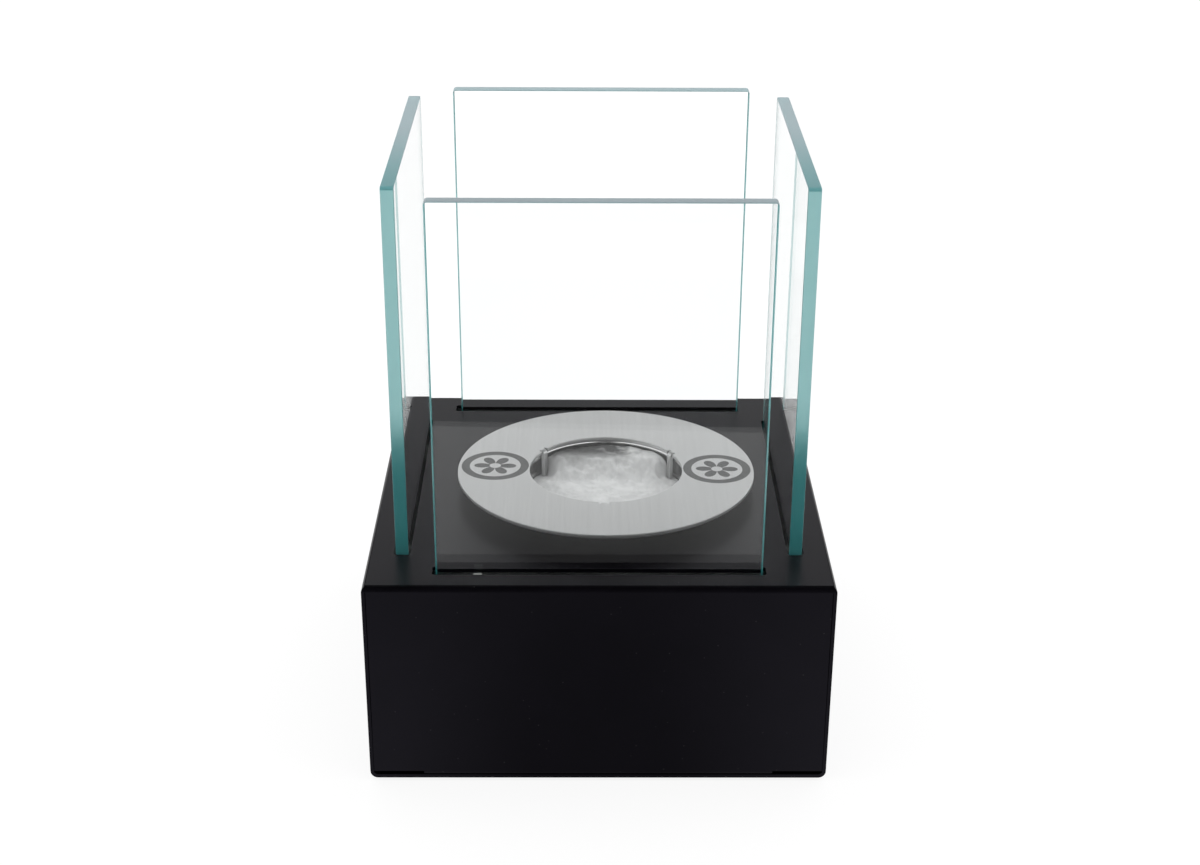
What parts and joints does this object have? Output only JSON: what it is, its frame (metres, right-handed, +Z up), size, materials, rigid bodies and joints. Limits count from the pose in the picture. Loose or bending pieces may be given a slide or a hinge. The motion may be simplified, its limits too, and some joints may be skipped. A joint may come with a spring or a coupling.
{
  "type": "tabletop bioethanol fireplace",
  "caption": "Tabletop bioethanol fireplace: a black folded steel box, upright glass panes standing in slots, and a round brushed steel burner packed with ceramic wool.",
  "frame": {"origin": "on the table, in the middle of the casing's footprint", "axes": "+Z up, -Y towards the front, +X to the right seen from the front"},
  "size_m": [0.18, 0.18, 0.2359],
  "materials": {
    "black_coat": "fine-textured satin black powder coat",
    "plain_steel": "bare zinc-coated sheet",
    "rivet_steel": "blind rivet, plain",
    "foot_rubber": "matt black rubber",
    "clear_glass": "clear tempered glass, ground edges with a green tint",
    "silicone": "translucent silicone",
    "spun_steel": "bright drawn stainless steel",
    "brushed_ring": "stainless steel, fine straight brushing front to back",
    "ceramic_fibre": "loose white ceramic fibre"
  },
  "bodies": {
    "casing": {"casing_shell": "black_coat", "base_plate": "plain_steel", "base_rivet_front_left": "rivet_steel", "base_rivet_front_right": "rivet_steel", "base_rivet_rear_left": "rivet_steel", "base_rivet_rear_right": "rivet_steel", "foot_front_left": "foot_rubber", "foot_front_right": "foot_rubber", "foot_rear_left": "foot_rubber", "foot_rear_right": "foot_rubber", "front_channel": "plain_steel", "right_channel": "plain_steel", "rear_channel": "plain_steel", "left_channel": "plain_steel", "front_pad_left": "silicone", "front_pad_right": "silicone", "right_pad_left": "silicone", "right_pad_right": "silicone", "rear_pad_left": "silicone", "rear_pad_right": "silicone", "left_pad_left": "silicone", "left_pad_right": "silicone"},
    "front_glass": {"front_pane": "clear_glass"},
    "right_glass": {"right_pane": "clear_glass"},
    "rear_glass": {"rear_pane": "clear_glass"},
    "left_glass": {"left_pane": "clear_glass"},
    "burner": {"burner_can": "spun_steel", "ceramic_wool": "ceramic_fibre"},
    "burner_ring": {"ring_plate": "brushed_ring"}
  },
  "joints": [
    {"name": "front_pane_lift", "type": "slide", "parent": "casing", "child": "front_glass", "axis": [0, 0, 1], "range_m": [0, 0.03]},
    {"name": "right_pane_lift", "type": "slide", "parent": "casing", "child": "right_glass", "axis": [0, 0, 1], "range_m": [0, 0.03]},
    {"name": "rear_pane_lift", "type": "slide", "parent": "casing", "child": "rear_glass", "axis": [0, -0.0157, 0.9999], "range_m": [0, 0.03]},
    {"name": "left_pane_lift", "type": "slide", "parent": "casing", "child": "left_glass", "axis": [0, 0, 1], "range_m": [0, 0.03]},
    {"name": "burner_lift", "type": "slide", "parent": "casing", "child": "burner", "axis": [0, 0, 1], "range_m": [0, 0.235]},
    {"name": "ring_lift", "type": "slide", "parent": "burner", "child": "burner_ring", "axis": [0, 0, 1], "range_m": [0, 0.16]}
  ]
}
